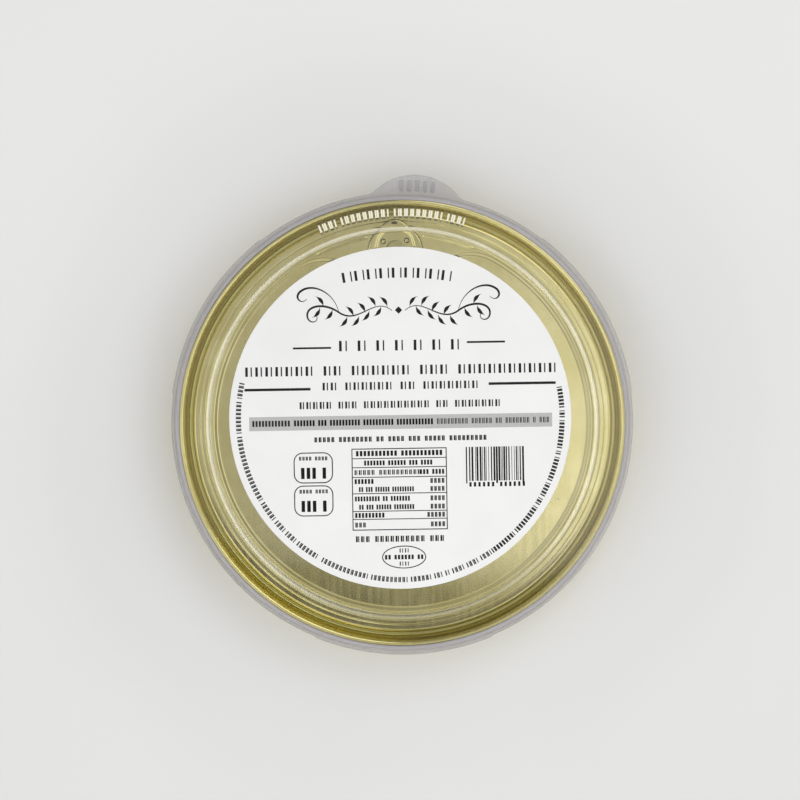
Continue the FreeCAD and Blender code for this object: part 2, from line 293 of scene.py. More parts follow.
def clearPlastic():
    # glossy moulded plastic with slow flow waves; over the shoulder and skirt, seen on edge, a painted
    # reflection makes it cloudy and grey, with less on the flange and tab
    material, nodes, links, shader = newMaterial("clearCap")
    flow = noiseNode(nodes, links, clear["flowScale"], 2)
    links.new(bumpNode(nodes, links, flow.outputs["Fac"], 0.4, clear["flowDepth"]), shader.inputs["Normal"])
    coords = nodes.new("ShaderNodeTexCoord")
    radius = radiusNode(nodes, links)
    # painted reflection: a cloudy grey band where the shoulder and skirt are seen on edge, lessened on the
    # flange and tab
    rim = eased(nodes, links, radius, clear["reflectionFrom"] * mm, clear["reflectionTo"] * mm, 0, clear["reflectionShare"])
    flange = eased(nodes, links, radius, clear["flangeFrom"] * mm, clear["flangeTo"] * mm,
                   0, clear["reflectionShare"] - clear["flangeShare"])
    dust = nodes.new("ShaderNodeTexVoronoi")
    dust.inputs["Scale"].default_value = clear["speckScale"]
    links.new(coords.outputs["Object"], dust.inputs["Vector"])
    rare = nodes.new("ShaderNodeSeparateColor")
    links.new(dust.outputs["Color"], rare.inputs["Color"])
    specks = worked(nodes, links, "MULTIPLY",
                    eased(nodes, links, dust.outputs["Distance"], clear["speckSize"],
                          2 * clear["speckSize"], 0.3, 0.0),
                    worked(nodes, links, "GREATER_THAN", rare.outputs["Red"], clear["speckShare"]))
    milkAndReflection = worked(nodes, links, "MAXIMUM", worked(nodes, links, "SUBTRACT", rim, flange), specks)
    links.new(worked(nodes, links, "SUBTRACT", 1.0, milkAndReflection), shader.inputs["Transmission Weight"])
    colour = mixedColour(nodes, links, milkAndReflection, clear["tint"], clear["milkAndReflection"], 0, clear["reflectionShare"])
    links.new(colour.outputs["Result"], shader.inputs["Base Color"])
    shader.inputs["Roughness"].default_value = clear["rough"]
    shader.inputs["IOR"].default_value = clear["ior"]
    return material


def paperMaterial():
    material, nodes, links, shader = newMaterial("labelPaper")
    fibre = noiseNode(nodes, links, 2600, 4)
    cloud = noiseNode(nodes, links, 60, 3)
    colour = mixedColour(nodes, links, cloud.outputs["Fac"], (0.895, 0.895, 0.88, 1),
                         (0.925, 0.925, 0.915, 1), 0.35, 0.65)
    links.new(colour.outputs["Result"], shader.inputs["Base Color"])
    links.new(spread(nodes, links, fibre.outputs["Fac"], 0.42, 0.55), shader.inputs["Roughness"])
    links.new(bumpNode(nodes, links, fibre.outputs["Fac"], 0.3, 4e-6), shader.inputs["Normal"])
    shader.inputs["Specular IOR Level"].default_value = 0.35
    return material


def inkMaterial(name, dark, pale):
    material, nodes, links, shader = newMaterial(name)
    blot = noiseNode(nodes, links, 1800, 3)
    colour = mixedColour(nodes, links, blot.outputs["Fac"], dark, pale, 0.35, 0.65)
    links.new(colour.outputs["Result"], shader.inputs["Base Color"])
    links.new(spread(nodes, links, blot.outputs["Fac"], 0.38, 0.5), shader.inputs["Roughness"])
    shader.inputs["Specular IOR Level"].default_value = 0.15
    return material


# can body

can = {
    "steps": 360,
    "heel": 2.0,
    "standRing": 3.6,
    "stepRun": 1.0,
    "outerRise": 0.8,
    "innerRise": 1.3,
    "innerInset": 8.0,
    "baseBend": 0.7,
    "sheet": 0.2,
    "moatFloor": 11.28,
    "moatEdge": 60.04,
    "topFloor": 12.18,
}


def makeBody(material):
    outside = bodyHigh.x / mm
    top = bodyHigh.z / mm
    ringInside = outside - can["heel"] - can["standRing"]
    innerEdge = ringInside - can["stepRun"] - can["innerInset"]
    bend = can["baseBend"]
    bm = bmesh.new()
    wireOutline(bm, [
        (0, can["innerRise"], 0, 0),
        (innerEdge - can["stepRun"], can["innerRise"], bend, 0),
        (innerEdge, can["outerRise"], bend, 0),
        (ringInside - can["stepRun"], can["outerRise"], bend, 0),
        (ringInside, 0, bend, 0),
        (outside, 0, can["heel"], 0),
        (outside, top, 0, 0),
        (outside - can["sheet"], top, 0, 0),
        (outside - can["sheet"], can["moatFloor"], 0, 0),
        (can["moatEdge"], can["moatFloor"], 0, 0),
        (can["moatEdge"], can["topFloor"], 0, 0),
        (0, can["topFloor"], 0, 0),
    ], False)
    spunSheet(bm, can["steps"])
    body = finished("canBody", bm, material)
    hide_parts("can_body")
    return body


# easy-open end

lid = {
    "steps": 720,
    "sheet": 0.22,
    "seamWidth": 1.4,
    "seamLength": 3.0,
    "seamRound": 0.65,
    "footRound": 0.4,
    "chuckSlope": 21.0,
    "countersink": 4.2,
    "moatWidth": 1.12,
    "outerBend": 0.35,
    "innerBend": 0.4,
    "edgeBend": 0.8,
    "wallLean": 0.1,
    "panelRise": 1.3,
    "scoreInset": 2.04,
    "scoreWidth": 0.3,
    "scoreDepth": 0.12,
    "pullTurn": 2.3,
    "rivetOut": 49.9,
}
deboss = {
    "inset": 3.7,
    "depth": 0.16,
    "run": 1.4,
    "landing": 12.0,
    "sweep": 14.0,
}
groove = {
    "line": 54.4,
    "halfWidth": 0.52,
    "depth": 0.26,
    "fromAngle": 9.0,
    "toAngle": 24.0,
}


def debossRadius(angle, inset, edge):
    # polar outline: the wide circle, a sweep at each corner and the round landing at the rivet
    wide = edge - inset
    landing = deboss["landing"] + inset
    sweep = deboss["sweep"] - inset
    hub = wide - sweep
    reach = landing + sweep
    rivet = lid["rivetOut"]
    along = (hub ** 2 - reach ** 2 + rivet ** 2) / (2 * rivet)
    across = math.sqrt(hub ** 2 - along ** 2)
    hubAngle = math.atan2(across, along)
    touch = Vector((landing * across / reach, rivet + landing * (along - rivet) / reach))
    touchAngle = math.atan2(touch.x, touch.y)
    a = abs(angle)
    if a >= hubAngle:
        return wide
    if a >= touchAngle:
        off = hubAngle - a
        return hub * math.cos(off) + math.sqrt(sweep ** 2 - (hub * math.sin(off)) ** 2)
    return rivet * math.cos(a) - math.sqrt(landing ** 2 - (rivet * math.sin(a)) ** 2)


def smooth(value, low, high):
    t = min(1, max(0, (value - low) / (high - low)))
    return t * t * (3 - 2 * t)


def makeEnd(material):
    outside = endHigh.x / mm
    top = endHigh.z / mm
    foot = top - lid["seamLength"]
    inside = outside - lid["seamWidth"]
    chuckFoot = inside - lid["countersink"] * math.tan(math.radians(lid["chuckSlope"]))
    floor = top - lid["countersink"]
    panel = floor + lid["panelRise"]
    panelEdge = chuckFoot - lid["moatWidth"]
    score = panelEdge - lid["scoreInset"]
    edge = score - deboss["inset"]
    halfScore = lid["scoreWidth"] / 2
    insets = [2.0, 1.6, 1.4, 1.2, 1.0, 0.8, 0.6, 0.4, 0.2, 0.0, -0.2]
    margin = 11

    corners = [(0, panel - deboss["depth"], 0, 0)]
    for i, inset in enumerate(insets):
        drop = deboss["depth"] * smooth(inset, 0, deboss["run"])
        corners.append((edge - inset, panel - drop, 0, i + 1))
    for i in range(margin):
        corners.append((edge + 0.3 + 2.9 * (i + 1) / margin, panel, 0, 101 + i))
    corners += [
        (score - halfScore - 0.12, panel, 0, 0),
        (score - halfScore, panel, 0, 0),
        (score, panel - lid["scoreDepth"], 0, 0),
        (score + halfScore, panel, 0, 0),
        (score + halfScore + 0.12, panel, 0, 0),
        (panelEdge, panel, lid["edgeBend"], 0),
        (panelEdge + lid["wallLean"], floor, lid["innerBend"], 0),
        (chuckFoot, floor, lid["outerBend"], 0),
        (inside, top, lid["seamRound"], 0),
        (outside, top, lid["seamRound"], 0),
        (outside, foot, lid["footRound"], 0),
        (bodyHigh.x / mm + 0.05, foot, 0.3, 0),
        (bodyHigh.x / mm + 0.05, foot + 0.9, 0, 0),
    ]
    bm = bmesh.new()
    tag = bm.verts.layers.int.new("loop")
    wireOutline(bm, corners, False, tag)
    spunSheet(bm, lid["steps"])
    turn = math.radians(90 + lid["pullTurn"])
    for vert in bm.verts:
        radius = math.hypot(vert.co.x, vert.co.y) / mm
        angle = math.atan2(vert.co.y, vert.co.x)
        off = (angle - turn + math.pi) % (2 * math.pi) - math.pi
        if 0 < vert[tag] <= len(insets):
            radius = debossRadius(off, insets[vert[tag] - 1], edge)
        elif vert[tag] > 100:
            # loops gather round the stiffening grooves beside the pull's nose
            near = 1 - smooth(abs(math.degrees(off)), 24.6, 29)
            spot = groove["line"] + (vert[tag] - 100 - (margin + 1) / 2) * 2.6 * groove["halfWidth"] / margin
            radius += (spot - radius) * near
            along = min(max(abs(math.degrees(off)), groove["fromAngle"]), groove["toAngle"])
            closest = Vector((math.sin(math.radians(along)), math.cos(math.radians(along)))) * groove["line"]
            here = Vector((math.sin(abs(off)), math.cos(off))) * radius
            gap = (here - closest).length / groove["halfWidth"]
            vert.co.z -= groove["depth"] * mm * (1 - smooth(gap, 0, 1))
        else:
            continue
        vert.co.x = radius * mm * math.cos(angle)
        vert.co.y = radius * mm * math.sin(angle)
    end = finished("canEnd", bm, material, 50)
    if end.data.polygons[0].normal.z < 0:
        end.data.flip_normals()
    wall = end.modifiers.new("sheet", "SOLIDIFY")
    wall.thickness = lid["sheet"] * mm
    wall.offset = -1
    crispened(end)
    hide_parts("can_end")
    return panel


# rivet and ring pull

rivet = {
    "steps": 96,
    "shank": 1.7,
    "head": 2.6,
    "rise": 0.4,
    "edge": 0.16,
    "webTop": 13.95,
}
pull = {
    "sides": 160,
    "nose": (0, 4.7, 4.2),
    "shoulder": (0, -0.5, 8.0),
    "ring": (0, -17.0, 11.0),
    "throat": (0, -9.6, 4.6),
    "bow": (0, -17.0, 8.2),
    "edgeRound": 0.5,
    "webHead": (2.2, 2.35, 3.3),
    "webFoot": (5.6, -5.5, 1.8),
    "webSink": 0.4,
    "holeRim": 1.4,
    "dentOut": 3.37,
    "dentAhead": 2.6,
    "dent": 0.75,
    "slotAhead": 7.8,
    "slotHalf": 0.5,
    "slotRound": 0.35,
}


def turnedToPull(bm, out):
    place = Matrix.Rotation(math.radians(lid["pullTurn"]), 4, "Z") @ Matrix.Translation((0, out * mm, 0))
    bmesh.ops.transform(bm, matrix=place, verts=bm.verts[:])


def makeRivet(material, panel):
    top = rivet["webTop"] + rivet["rise"]
    head = rivet["head"]
    bm = bmesh.new()
    wireOutline(bm, [
        (0, top, 0, 0),
        (head - 0.4, top, 0, 0),
        (head, top, rivet["edge"], 0),
        (head, rivet["webTop"], 0, 0),
        (rivet["shank"], rivet["webTop"], 0, 0),
        (rivet["shank"], panel, 0.3, 0),
        (rivet["shank"] + 0.6, panel - 0.1, 0, 0),
        (0, panel - 0.1, 0, 0),
    ], False)
    spunSheet(bm, rivet["steps"])
    turnedToPull(bm, lid["rivetOut"])
    made = finished("rivetHead", bm, material, 60)
    crispened(made)
    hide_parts("can_end")
    return made


def loopOf(bm, sides, height, place):
    # a ring of edges; place gives each vertex its spot from its direction
    verts = bmesh.ops.create_circle(bm, segments=sides, radius=1)["verts"]
    for vert in verts:
        x, y = place(vert.co.normalized())
        vert.co = Vector((x * mm, y * mm, height * mm))
    return verts


def beltLoop(bm, circles, grow, height):
    # as a belt pulled round circles of (x, y, radius)
    def place(way):
        x, y, radius = max(circles, key=lambda c: c[0] * way.x + c[1] * way.y + c[2])
        return x + (radius + grow) * way.x, y + (radius + grow) * way.y
    return loopOf(bm, pull["sides"], height, place)


def loopEdges(verts):
    inside = set(verts)
    return list({e for v in verts for e in v.link_edges if e.other_vert(v) in inside})


def skinned(bm, loops):
    for one, two in zip(loops, loops[1:]):
        bmesh.ops.bridge_loops(bm, edges=loopEdges(one) + loopEdges(two))


def webLoop(bm, inset, height):
    # the arched hollow round the rivet, cut off by the rim of the finger hole
    corners = [(side * x, y, radius - inset) for x, y,
               radius in (pull["webHead"], pull["webFoot"]) for side in (1, -1)]
    normals = [Vector((math.cos(t * math.pi / 90), math.sin(t * math.pi / 90), 0)) for t in range(180)]
    reaches = [max(x * n.x + y * n.y + radius for x, y, radius in corners) for n in normals]
    rim = Vector(pull["throat"][:2])
    rimRadius = pull["throat"][2] + pull["holeRim"] + 0.35 * inset

    def place(way):
        out = min(reach / way.dot(n) for n, reach in zip(normals, reaches) if way.dot(n) > 0.02)
        along = way.x * rim.x + way.y * rim.y
        inner = along ** 2 - rim.length_squared + rimRadius ** 2
        if along > 0 and inner > 0:
            near = along - math.sqrt(inner)
            blend = max(0.8 - abs(near - out), 0) / 0.8
            out = min(out, near) - blend * blend * 0.2
        return way.x * out, way.y * out
    return loopOf(bm, pull["sides"], height, place)


def makePull(material):
    low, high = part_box("ring_pull")
    bottom, top = low.z / mm, high.z / mm
    bend = pull["edgeRound"]
    outer = [pull["nose"], pull["shoulder"], pull["ring"]]
    hole = [pull["throat"], pull["bow"]]
    rims = [(bend * (1 - math.cos(a)),
             bend * (1 - math.sin(a))) for a in [math.radians(14.5 * k) for k in range(7)]]
    bm = bmesh.new()
    heights = [(back, top - drop) for back, drop in rims] + [(bend + 0.08, top)]
    depths = [(bend + 0.08, bottom)] + [(back, bottom + drop) for back, drop in reversed(rims)]
    outerLoops = [beltLoop(bm, outer, -back, z) for back, z in depths + heights]
    holeLoops = [beltLoop(bm, hole, back, z) for back, z in depths + heights]
    skinned(bm, outerLoops)
    skinned(bm, holeLoops)
    webSteps = [(-0.08, 0), (0, 0.01), (0.1, 0.08), (0.34, 0.4), (0.6, 0.8), (0.76, 0.96), (0.86, 1),
                (1.1, 1)]
    webLoops = [webLoop(bm, inset, top - drop * pull["webSink"]) for inset, drop in webSteps]
    skinned(bm, webLoops)
    floor = top - pull["webSink"]
    dents = []
    for side in (-1, 1):
        spot = (side * pull["dentOut"], pull["dentAhead"], pull["dent"])
        rings = [beltLoop(bm, [spot], grow, floor - sink) for grow, sink in
                 ((0.14, 0), (0.04, 0), (0, 0.04), (-0.22, 0.3), (-0.28, 0.33), (-0.4, 0.34))]
        skinned(bm, rings)
        dents.append(rings)
    slot = [(side * pull["slotHalf"], pull["slotAhead"], pull["slotRound"]) for side in (-1, 1)]
    slotLoops = [beltLoop(bm, slot, grow, top - sink) for grow,
                 sink in ((0.1, 0), (0, 0), (-0.06, 0.12), (-0.15, 0.22), (-0.2, 0.22))]
    skinned(bm, slotLoops)
    fills = [
        (outerLoops[-1], holeLoops[-1], webLoops[0], slotLoops[0]),
        (outerLoops[0], holeLoops[0]),
        (webLoops[-1], dents[0][0], dents[1][0]),
        (dents[0][-1],), (dents[1][-1],), (slotLoops[-1],),
    ]
    for loops in fills:
        edges = [edge for loop in loops for edge in loopEdges(loop)]
        bmesh.ops.triangle_fill(bm, use_beauty=True, use_dissolve=False, edges=edges, normal=(0, 0, 1))
    turnedToPull(bm, lid["rivetOut"])
    made = finished("ringPull", bm, material, 45)
    crispened(made)
    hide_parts("ring_pull")
    return made


# clear cap

cap = {
    "steps": 720,
    "wall": 0.7,
    "clearance": 0.15,
    "ringWidth": 8.1,
    "stepRun": 1.4,
    "stepBend": 0.5,
    "shoulder": 0.9,
    "draft": 0.35,
    "flangeWidth": 1.08,
    "edgeRound": 0.18,
    "beadReach": 0.75,
    "beadHeight": 0.8,
    "lugCount": 3,
    "lugSpan": 45.0,
    "lugStand": 0.3,
    "turn": -3.6,
    "lugTurn": -56.0,
    "tabRadius": 16.5,
    "tabReach": 5.05,
    "printRoom": 0.02,
    "ribCount": 5,
    "ribPitch": 2.3,
    "ribWidth": 1.15,
    "ribLength": 3.0,
    "ribHeight": 0.3,
    "ribBack": 0.35,
    "ribRound": 0.1,
}


def lugShare(angle):
    # 1 along a lug, 0 between lugs
    start = math.radians(cap["lugTurn"])
    pitch = 2 * math.pi / cap["lugCount"]
    off = abs((angle - start + pitch / 2) % pitch - pitch / 2)
    half = math.radians(cap["lugSpan"] / 2)
    return 1 - smooth(off, half - 0.006, half + 0.006)


def flangeReach(angle, edge):
    # how far the flange stands from the axis, with the lugs and the thumb tab
    reach = edge + cap["lugStand"] * lugShare(angle)
    hub = edge + cap["tabReach"] - cap["tabRadius"]
    across = hub * math.sin(angle)
    if abs(angle) < 0.35 and abs(across) < cap["tabRadius"]:
        tab = hub * math.cos(angle) + math.sqrt(cap["tabRadius"] ** 2 - across ** 2)
        blend = 1.1
        near = max(blend - abs(tab - reach), 0) / blend
        reach = max(tab, reach) + near * near * blend / 4
    return reach


def makeCap(material):
    wall = cap["wall"]
    top = capHigh.z / mm - cap["printRoom"]
    foot = capLow.z / mm
    skirtIn = endHigh.x / mm + cap["clearance"]
    skirtOut = skirtIn + wall
    stepHead = skirtIn - cap["ringWidth"]
    stepFoot = stepHead - cap["stepRun"]
    panelTop = labelLow.z / mm
    footIn = skirtIn + cap["draft"]
    footOut = skirtOut + cap["draft"]
    edge = footOut + cap["flangeWidth"]
    flangeTop = foot + wall
    beadTop = endHigh.z / mm - lid["seamLength"] - 0.1

    corners = [
        (0, panelTop, 0, 0),
        (stepFoot, panelTop, cap["stepBend"], 0),
        (stepHead, top, cap["stepBend"], 0),
        (skirtOut, top, cap["shoulder"], 0),
        (footOut, flangeTop, 0.15, 0),
    ]
    corners += [
        (edge - 0.04, flangeTop, 0, 2),
        (edge, flangeTop - cap["edgeRound"] * 0.35, 0, 3),
        (edge, foot + cap["edgeRound"] * 0.35, 0, 3),
        (edge - 0.04, foot, 0, 2),
        (edge - 0.3 * cap["flangeWidth"], foot, 0, 4),
        (footIn, foot, 0.12, 0),
        (footIn - 0.05, beadTop - cap["beadHeight"], 0, 0),
        (footIn - 0.06, beadTop - cap["beadHeight"] * 0.66, 0, 5),
        (footIn - 0.07, beadTop - cap["beadHeight"] * 0.33, 0, 5),
        (footIn - 0.08, beadTop, 0, 0),
        (skirtIn, top - wall, 0.2, 0),
        (stepHead + wall / 2, top - wall, cap["stepBend"], 0),
        (stepFoot + wall / 2, panelTop - wall, cap["stepBend"], 0),
        (0, panelTop - wall, 0, 0),
    ]
    bm = bmesh.new()
    tag = bm.verts.layers.int.new("loop")
    wireOutline(bm, corners, False, tag)
    spunSheet(bm, cap["steps"])
    turn = math.radians(90 + cap["turn"])
    for vert in bm.verts:
        mark = vert[tag]
        if mark == 0:
            continue
        angle = math.atan2(vert.co.y, vert.co.x)
        off = (angle - turn + math.pi) % (2 * math.pi) - math.pi
        radius = math.hypot(vert.co.x, vert.co.y) / mm
        reach = flangeReach(off, edge)
        if mark in (2, 3, 4):
            radius += reach - edge
        elif mark == 5:
            radius -= (radius - (footIn - cap["beadReach"])) * lugShare(off)
        vert.co.x = radius * mm * math.cos(angle)
        vert.co.y = radius * mm * math.sin(angle)
    lidCap = finished("overCap", bm, material, 45)
    crispened(lidCap)
    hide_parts("overcap")
    return lidCap


def makeTabRibs(material):
    # raised grip bars on the thumb tab
    flangeTop = capLow.z / mm + cap["wall"]
    edge = endHigh.x / mm + cap["clearance"] + cap["wall"] + cap["draft"] + cap["flangeWidth"]
    middle = edge + cap["ribBack"] + cap["ribLength"] / 2
    size = Matrix.Diagonal((cap["ribWidth"] * mm, cap["ribLength"] * mm, 2 * cap["ribHeight"] * mm, 1))
    bm = bmesh.new()
    for i in range(cap["ribCount"]):
        along = (i - (cap["ribCount"] - 1) / 2) * cap["ribPitch"] / middle
        place = Matrix.Rotation(math.radians(cap["turn"]) - along, 4,
                                "Z") @ Matrix.Translation((0, middle * mm, flangeTop * mm))
        bmesh.ops.create_cube(bm, size=1, matrix=place @ size)
    bmesh.ops.bevel(bm, geom=bm.edges[:], offset=cap["ribRound"] * mm, offset_type="OFFSET", segments=3,
                    profile=0.5, affect="EDGES", material=-1)
    ribs = finished("tabRibs", bm, material, 50)
    return ribs


def frostedPlastic():
    material, nodes, links, shader = newMaterial("frostedRibs")
    grain = noiseNode(nodes, links, 3000, 3)
    links.new(spread(nodes, links, grain.outputs["Fac"], 0.3, 0.5), shader.inputs["Roughness"])
    links.new(bumpNode(nodes, links, grain.outputs["Fac"], 0.4, 4e-6), shader.inputs["Normal"])
    shader.inputs["Base Color"].default_value = clear["milkAndReflection"]
    shader.inputs["Transmission Weight"].default_value = 0.45
    shader.inputs["IOR"].default_value = clear["ior"]
    return material


# paper label and its print

label = {
    "steps": 256,
    "turn": 0.9,
    "glueGap": 0.02,
    "inkGap": 0.012,
    "weight": 1.3,
}


def labelMiddle():
    return (labelLow + labelHigh) / 2


def makeLabel(material):
    middle = labelMiddle()
    radius = (labelHigh.x - labelLow.x) / 2
    thick = labelHigh.z - labelLow.z - label["glueGap"] * mm
    bm = bmesh.new()
    bmesh.ops.create_circle(bm, cap_ends=True, segments=label["steps"], radius=radius)
    bmesh.ops.translate(bm, vec=(0, 0, -thick), verts=bm.verts[:])
    raised = bmesh.ops.extrude_face_region(bm, geom=bm.faces[:])
    bmesh.ops.translate(bm, vec=(0, 0, thick),
                        verts=[v for v in raised["geom"] if isinstance(v, bmesh.types.BMVert)])
    rim = [e for e in bm.edges if all(abs(v.co.z) < 1e-7 for v in e.verts)]
    bmesh.ops.bevel(bm, geom=rim, offset=0.03 * mm, offset_type="OFFSET", segments=2, profile=0.5,
                    affect="EDGES", material=-1)
    bmesh.ops.translate(bm, vec=(middle.x, middle.y, labelHigh.z), verts=bm.verts[:])
    sheet = finished("labelSheet", bm, material, 30)
    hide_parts("label")
    return sheet


def patch(bm, x0, x1, y0, y1, place=Matrix.Identity(4)):
    # a flat rectangle of ink, sizes in mm about the label's middle
    size = Matrix.Diagonal(((x1 - x0) * mm, (y1 - y0) * mm, 1, 1))
    spot = Matrix.Translation(((x0 + x1) / 2 * mm, (y0 + y1) / 2 * mm, 0))
    return bmesh.ops.create_grid(bm, x_segments=1, y_segments=1, size=0.5,
                                 matrix=place @ spot @ size)["verts"]


def signRow(groups, share):
    # start of each sign as a share of the row, with a wider gap between groups, and the width of one
    total = sum(groups) + 0.8 * (len(groups) - 1) - (1 - share)
    starts, at = [], 0
    for count in groups:
        starts += [(at + i) / total for i in range(count)]
        at += count + 0.8
    return starts, share / total


def signs(bm, x0, x1, y, height, groups, stem=0.14, hair=0.05, share=0.66):
    # one line of print: each sign is a thick and a thin upright stroke
    starts, width = signRow(groups, share)
    stem, hair = stem * label["weight"], hair * label["weight"]
    for start in starts:
        x = x0 + start * (x1 - x0)
        end = x + width * (x1 - x0)
        patch(bm, x, x + stem * height, y - height / 2, y + height / 2)
        patch(bm, end - hair * height, end, y - height / 2, y + height / 2)


def arcSigns(bm, radius, start, end, height, groups, stem=0.14, hair=0.05, share=0.66, hub=(0, 0)):
    # the same along an arc, from start to end degrees
    starts, width = signRow(groups, share)
    stem, hair = stem * label["weight"], hair * label["weight"]
    for at in starts:
        for angle, thick in ((at, stem), (at + width, hair)):
            turn = math.radians(start + angle * (end - start)) - math.pi / 2
            place = Matrix.Translation((hub[0] * mm, hub[1] * mm, 0)) @ Matrix.Rotation(turn, 4, "Z")
            half = thick * height / 2
            patch(bm, -half, half, radius - height / 2, radius + height / 2, place)


def frameBox(bm, x0, x1, y0, y1, corner, line):
    # an outlined box with round corners
    verts = patch(bm, x0, x1, y0, y1)
    face = verts[0].link_faces[0]
    if corner:
        made = bmesh.ops.bevel(bm, geom=verts, offset=corner * mm, offset_type="OFFSET", segments=6,
                               profile=0.5, affect="VERTICES", material=-1)
        face = max((f for v in made["verts"] for f in v.link_faces), key=lambda f: f.calc_area())
    bmesh.ops.inset_region(bm, faces=[face], thickness=line * mm, use_even_offset=True, use_boundary=True)
    bmesh.ops.delete(bm, geom=[face], context="FACES")


def ring(bm, x, y, halfWidth, halfHeight, line):
    verts = bmesh.ops.create_circle(bm, cap_ends=True, segments=64, radius=1)["verts"]
    face = verts[0].link_faces[0]
    for v in verts:
        v.co = Vector(((x + v.co.x * halfWidth) * mm, (y + v.co.y * halfHeight) * mm, 0))
    bmesh.ops.inset_region(bm, faces=[face], thickness=line * mm, use_even_offset=True, use_boundary=True)
    bmesh.ops.delete(bm, geom=[face], context="FACES")


def stroke(bm, knots, thin, thick, side):
    # a pen stroke along joined curves; it swells between its ends
    points = []
    for a, b, c, d in knots:
        part = interpolate_bezier(*[Vector((side * x, y, 0)) * mm for x, y in (a, b, c, d)], 24)
        points += part if not points else part[1:]
    verts = bmesh.ops.create_grid(bm, x_segments=len(points) - 1, y_segments=1, size=1)["verts"]
    verts.sort(key=lambda v: (v.co.x, v.co.y))
    for i, point in enumerate(points):
        ahead = points[min(i + 1, len(points) - 1)] - points[max(i - 1, 0)]
        across = Vector((-ahead.y, ahead.x, 0)).normalized()
        swell = math.sin(math.pi * i / (len(points) - 1)) ** 2
        half = (thin + (thick - thin) * swell) * mm / 2
        verts[2 * i].co = point - across * half
        verts[2 * i + 1].co = point + across * half


def flourish(bm):
    # a leafy scroll, the same on both sides of a lozenge
    for side in (-1, 1):
        stroke(bm, [((1.9, 30.9), (7, 35.4), (11.5, 26.6), (17.2, 30.6)),
                    ((17.2, 30.6), (21.2, 33.6), (26.6, 32.8), (26.3, 29.6)),
                    ((26.3, 29.6), (26.0, 27.2), (22.9, 27.6), (23.6, 29.6))], 0.2, 0.6, side)
        stroke(bm, [((17.2, 30.6), (18.4, 36.6), (25.0, 39.6), (28.4, 36.6)),
                    ((28.4, 36.6), (30.2, 34.6), (27.6, 32.9), (26.4, 34.6))], 0.16, 0.62, side)
        for x, y, up in ((3.2, 31.9, 1), (5.0, 32.3, -1), (6.6, 32.0, 1), (8.4, 31.1, -1),
                         (9.6, 30.3, 1), (11.4, 29.6, -1),
                         (13.0, 29.3, 1), (14.8, 29.5, -1), (19.0, 31.6, -1), (21.6, 32.3, 1), (22.6, 32.2, -1)):
            tip = (x + 2.3, y + up * 3.0)
            stroke(bm, [((x, y), (x + 0.2, y + up * 1.4), (x + 1.0, y + up * 2.5), tip)], 0.05, 1.0, side)
    patch(bm, -0.75, 0.75, -0.75, 0.75,
          Matrix.Translation((0, 31.0 * mm, 0)) @ Matrix.Rotation(math.pi / 4, 4, "Z"))


def barcode(bm, x0, x1, y0, y1):
    draw = random.Random(11)
    x = x0
    module = 0.18
    while x < x1 - 3 * module:
        width = module * draw.choice((1, 1, 2, 2, 3))
        guard = x - x0 < 0.6 or x1 - x < 1.4 or abs(x - (x0 + x1) / 2) < 0.45
        patch(bm, x, x + width, y0 - (0.7 if guard else 0), y1)
        x += width + module * draw.choice((1, 1, 2, 2, 3))


